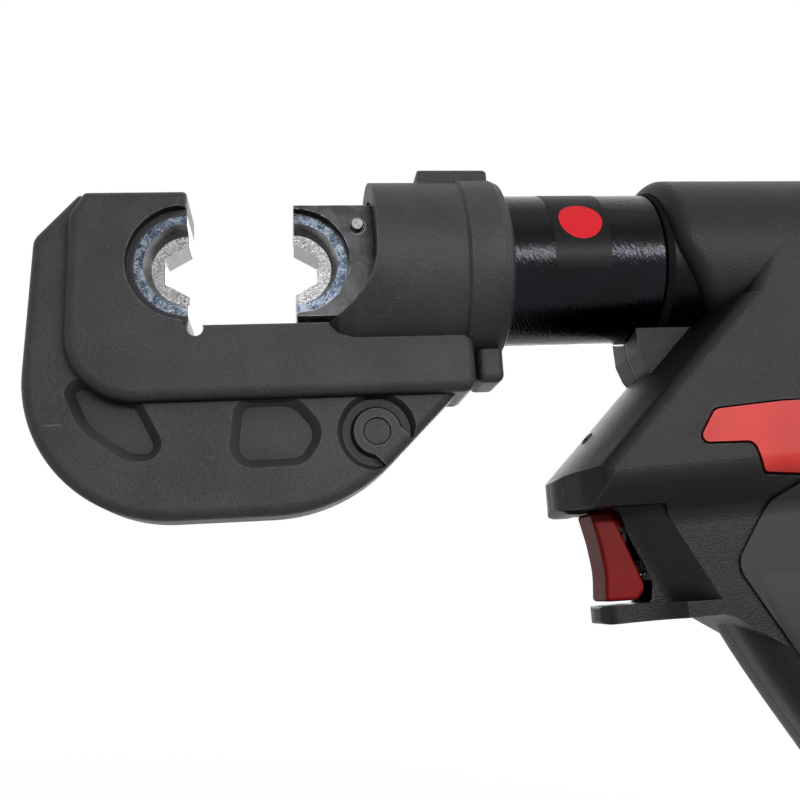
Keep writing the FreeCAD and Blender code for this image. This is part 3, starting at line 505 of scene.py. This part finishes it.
def moulded(name, seamed):
    """Black grained plastic; where it is seamed, the parting line shows as a dark groove."""
    material, shader, place = finish(name, 0.5, specular=shell_specular)
    grain = place.noise(shell_grain, detail=2, roughness=0.6)
    flow = place.noise(shell_flow, detail=3)
    dust = marks(place, size=0.0011, share=(0.7, 0.76), patch=0.009, patch_share=(0.5, 0.62),
                 detail=3)
    rubbed = worn_edges(place, reach=0.0018, patch=0.005, share=(0.4, 0.65)) * shell_wear
    colour = (flow.within(*half_share) * 0.6 + grain * 0.4).tint(shell_dark, shell_light)
    greyed = rubbed.most(dust * dust_strength).tint(colour, shell_rubbed)
    # Painted shade: corners, slots and the trigger bay turn near black; the seam's real groove
    # joins it below.
    clear = free_of_painted_shade(place, shell_corner)
    height = grain
    if seamed:
        beside = place.axis("Y").unsigned().within(seam_half * seam_core, seam_half * seam_end)
        clear = clear * beside
        height = grain + beside * seam_depth
    feed(shader, "Base Color", clear.tint(shell_shade_and_seam, greyed))
    feed(shader, "Roughness", grain * 0.12 + flow * 0.1 + shell_smoothest)
    emboss(shader, height, shell_relief)
    return material


dress(moulded("shell_plastic", True), "housing_left", "housing_right", "nose_cap")
dress(moulded("case_plastic", False), "battery_case", "battery_shoe", "trigger_switch")


# Shell screws. Five steel screws, zinc plated and passivated black, with a socket for a hex key.
# They pull the two half shells together, and the plating is worn a little round the sockets.
screw_share = (0.4, 0.75)
screw_steel = marked("screw_steel", 0.35, metallic=0.9, size=0.0012, detail=4, share=screw_share,
                     colours=(grey(0.03), grey(0.2, 0.03)), smoothest=0.25, duller=0.25,
                     relief=0.00004)
dress(screw_steel, *[name for name in nodes if name.startswith("housing_screw")])


# Swivel ring. An acetal ring, turned from bar, in the gap where the barrel enters the body.
# The head turns in it, and its near-black colour is painted shade for that gap.
shaded_ring_plastic = marked("shaded_ring_plastic", 0.6, specular=0.03, size=0.0006, detail=3,
                      stretch=(1, 8, 8), colours=(grey(0.003), grey(0.007)),
                      smoothest=0.5, duller=0.2, relief=0.00004)
dress(shaded_ring_plastic, "swivel_ring")


# Small screws of the nose and the barrel, in blackened steel. One sits on the nose's parting
# line, and a set screw locks the barrel near its rear end. Each has a hexagonal socket.
set_screw_x = 0.1878
set_screw_radius = 0.0016
set_screw_side = -0.0068
set_screw_down = -0.0314
nose_screw_radius = 0.003
nose_screw_back = 0.0155
nose_screw_y = -0.0004
over_nose = -0.03
screw_sides = 36
black_screw = marked("black_screw", 0.35, metallic=0.8, size=0.0009, detail=4, share=screw_share,
                     colours=(grey(0.015), grey(0.09, 0.03)), smoothest=0.2, duller=0.25,
                     relief=0.00004)


def screw(name, seat, outward, radius, body):
    """A countersunk screw at that seat. A ring gives its radius and its height in radii of the
    screw, and the number of its corners, with 0 for a round one."""
    foot = (1.0, -0.5, 0)
    rim = (1.0, 0.12, 0)
    rim_top = (0.9, 0.16, 0)
    cone_end = (0.78, 0.0, 0)
    head_edge = (0.7, 0.04, 0)
    socket_mouth = (0.5, 0.05, 6)
    socket_floor = (0.46, -0.4, 6)
    turn = outward.to_track_quat("Z", "Y")
    mesh = bmesh.new()
    loops = []
    for reach, height, corners in (foot, rim, rim_top, cone_end, head_edge, socket_mouth,
                                   socket_floor):
        loop = []
        for step in range(screw_sides):
            angle = math.radians(step * 360 / screw_sides)
            out = reach
            if corners:
                flat = math.pi / corners
                out = reach * math.cos(flat) / math.cos(angle % (2 * flat) - flat)
            spot = Vector((out * math.cos(angle), out * math.sin(angle), height)) * radius
            loop.append(mesh.verts.new(seat + turn @ spot))
        loops.append(loop)
    for outer, inner in zip(loops, loops[1:]):
        for step in range(screw_sides):
            after = (step + 1) % screw_sides
            mesh.faces.new((outer[step], outer[after], inner[after], inner[step]))
    mesh.faces.new(loops[-1])
    mesh.faces.new(reversed(loops[0]))
    data = bpy.data.meshes.new(name)
    mesh.to_mesh(data)
    mesh.free()
    data.materials.append(black_screw)
    made = bpy.data.objects.new(name, data)
    bpy.context.scene.collection.objects.link(made)
    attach(made, body)


def surface(node, start, heading):
    """Where a straight line from start first meets that node, in world metres."""
    to_node = nodes[node].matrix_world.inverted()
    local_heading = (to_node.to_3x3() @ heading).normalized()
    hit, spot = nodes[node].ray_cast(to_node @ start, local_heading)[:2]
    return nodes[node].matrix_world @ spot if hit else start


barrel_out = Vector((0, set_screw_side, set_screw_down)).normalized()
set_screw_seat = Vector((set_screw_x, 0, 0)) + barrel_out * barrel_radius
screw("barrel_set_screw", set_screw_seat, barrel_out, set_screw_radius, "head")
nose_out = Vector((-1, 0, 1)).normalized()
nose_screw_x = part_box("housing_left")[0].x + nose_screw_back
nose_start = Vector((nose_screw_x, nose_screw_y, over_nose))
nose_seat = surface("housing_left", nose_start, Vector((0, 0, -1)))
screw("nose_screw", nose_seat, nose_out, nose_screw_radius, "body")


# Grip. A soft elastomer skin moulded over the back and the sides of the handle, dark grey and
# silky, and a little lighter where the palm has polished it.
grip_dark = grey(0.022, 0.01)
grip_light = grey(0.034, 0.02)
silk_size = 0.0004
palm_size = 0.03
handled_share = (0.25, 0.75)
grip_relief = 0.00008
grip_smoothest = 0.36
grip_rubber, shader, place = finish("grip_rubber", 0.5, specular=black_specular)
silk = place.noise(silk_size, detail=2)
palm = place.noise(palm_size, detail=4)
handled = (palm * 0.7 + silk * 0.3).within(*handled_share)
feed(shader, "Base Color", handled.tint(grip_dark, grip_light))
feed(shader, "Roughness", palm * 0.16 + silk * 0.1 + grip_smoothest)
emboss(shader, silk, grip_relief)
dress(grip_rubber, "grip_sleeve")


# Trigger, battery latch and release lever. Red nylon, satin from the mould and paler along its
# edges. All three are one red; the trigger's and the latch's darker red is painted shade.
satin_size = 0.0004
touched_size = 0.02
nylon_edge = 0.0009
nylon_wear = 0.35
nylon_relief = 0.00007


def red_nylon(name, roughness, reds, rubbed_red, smoothest, specular):
    """Red nylon: clouds of the two reds, and the rubbed red along the edges."""
    material, shader, place = finish(name, roughness, specular=specular)
    satin = place.noise(satin_size, detail=2)
    touched = place.noise(touched_size, detail=4)
    rubbed = edges(place, nylon_edge) * nylon_wear
    feed(shader, "Base Color", rubbed.tint(touched.within(*half_share).tint(*reds), rubbed_red))
    feed(shader, "Roughness", satin * 0.14 + touched * 0.12 + smoothest)
    emboss(shader, satin, nylon_relief)
    return material


# Painted shade: the lever's red darkened for the trigger, and the latch shares it.
shaded_trigger_reds = (0.12, 0.005, 0.004, 1), (0.17, 0.007, 0.006, 1)
red_plastic = red_nylon("red_plastic", 0.42, shaded_trigger_reds, rubbed_red=(0.42, 0.07, 0.06, 1),
                        smoothest=0.32, specular=0.08)
dress(red_plastic, "trigger", "battery_latch")

lever_reds = (0.48, 0.034, 0.03, 1), (0.58, 0.046, 0.04, 1)
lever_red = red_nylon("lever_red", 0.4, lever_reds, rubbed_red=(0.75, 0.2, 0.18, 1),
                      smoothest=0.3, specular=0.15)
dress(lever_red, "retract_lever")


# Pump block, gearbox and release valve. Milled from aluminium and anodised black, and darker still
# as painted shade for the gap round the barrel. The gearbox is bolted behind the pump block, and
# the valve hangs under the block, beside the lever.
pump_aluminium = marked("pump_aluminium", 0.35, metallic=1.0, size=0.0006, detail=3,
                        stretch=(10, 1, 1), colours=(grey(0.006, 0.03), grey(0.012, 0.03)),
                        smoothest=0.25, duller=0.25, relief=0.00005)
dress(pump_aluminium, "pump_block", "gearbox", "release_valve")


# Motor. A drawn and plated steel can, screwed to the gearbox from behind, inside the shell.
# The plating is a little cloudy.
motor_steel = marked("motor_steel", 0.4, metallic=1.0, size=0.003, detail=5,
                     colours=(grey(0.2, 0.04), grey(0.36, 0.04)), smoothest=0.25, duller=0.3,
                     relief=0.00004)
dress(motor_steel, "motor")


# Control board. Glass fibre laminate under a green solder mask, seated on the plug of the
# battery shoe. Its weave shows through.
board_greens = (0.01, 0.09, 0.035, 1), (0.02, 0.16, 0.06, 1)
board_green = marked("board_green", 0.35, size=0.0007, detail=2, stretch=(3, 1, 1),
                     colours=board_greens, smoothest=0.25, duller=0.2, relief=0.00005)
dress(board_green, "control_board")


# Battery cells. Five round cells that lie side by side in the battery's case, each in a blue
# plastic sleeve that is shrunk on with heat.
wrap_blues = (0.02, 0.12, 0.3, 1), (0.03, 0.17, 0.4, 1)
cell_wrap = marked("cell_wrap", 0.3, size=0.004, detail=3, colours=wrap_blues, smoothest=0.2,
                   duller=0.2, relief=0.0001)
dress(cell_wrap, *[name for name in nodes if name.startswith("battery_cell")])


# Studio. A floor under the battery and air all round, both white to the camera. One narrow lamp
# draws the streak along the barrel; broad ones light the front, the top, the back and both ends.
floor_half = 4.0
floor_grey = 0.15
floor_lift = 0.92
floor_fade = (0.6, 1.6)
air_level = 0.05


def shown(start):
    """1 for the camera's rays and those that gloss or glass passes on, and 0 for the light's."""
    kinds = ("Camera", "Glossy", "Transmission")
    seen, glossy, clear = [start.node("LightPath", {}, output=f"Is {kind} Ray") for kind in kinds]
    return seen.most(glossy.most(clear))


def softbox(name, place, target, wide, high, watts):
    """A soft rectangular lamp at that place, aimed at the target, that the camera never sees."""
    lamp = bpy.data.lights.new(name, "AREA")
    lamp.shape = "RECTANGLE"
    lamp.size = wide
    lamp.size_y = high
    lamp.energy = watts
    made = bpy.data.objects.new(name, lamp)
    made.location = place
    made.rotation_mode = "QUATERNION"
    made.rotation_quaternion = (Vector(target) - Vector(place)).to_track_quat("-Z", "Y")
    made.visible_camera = False
    bpy.context.scene.collection.objects.link(made)


floor_level = cad_box[0].z
signs = ((-1, -1), (1, -1), (1, 1), (-1, 1))
corners = [(x * floor_half, y * floor_half, floor_level) for x, y in signs]
floor_mesh = bpy.data.meshes.new("floor")
floor_mesh.from_pydata(corners, [], [(0, 1, 2, 3)])
floor = bpy.data.objects.new("floor", floor_mesh)
bpy.context.scene.collection.objects.link(floor)
floor_paint, shader, place = finish("floor_paint", 0.9, specular=0.0)
shader.inputs["Base Color"].default_value = grey(floor_grey)
far = place.length().within(*floor_fade)
lift = shown(place) * (far * (1 - floor_lift) + floor_lift)
feed(shader, "Emission Color", lift.tint(grey(0.0), grey(1.0)))
shader.inputs["Emission Strength"].default_value = 1.0
floor_mesh.materials.append(floor_paint)

world = bpy.data.worlds.new("studio_air")
bpy.context.scene.world = world
world.use_nodes = True
air = world.node_tree.nodes["Background"]
air.inputs["Color"].default_value = grey(1.0)
feed(air, "Strength", shown(Signal(air.inputs["Color"])) * (1 - air_level) + air_level)

softbox("strip_lamp", (0.5, -1.2, 0.21), (0.14, 0, 0), wide=1.3, high=0.06, watts=17)
softbox("front_lamp", (0.4, -1.5, 0.3), (0.16, 0, -0.05), wide=1.4, high=0.8, watts=3)
softbox("top_lamp", (0.3, -0.7, 1.2), (0.12, 0, -0.05), wide=0.8, high=0.5, watts=1)
softbox("back_lamp", (0.7, 1.5, 0.25), (0.15, 0, -0.1), wide=1.4, high=0.9, watts=12)
softbox("side_lamp", (1.7, 0.3, 0.3), (0.2, 0, -0.1), wide=1.2, high=0.8, watts=6)
softbox("nose_lamp", (-1.5, 0.5, 0.1), (0.1, 0, -0.1), wide=1.0, high=0.6, watts=1.5)

bpy.context.scene.view_settings.view_transform = "Standard"
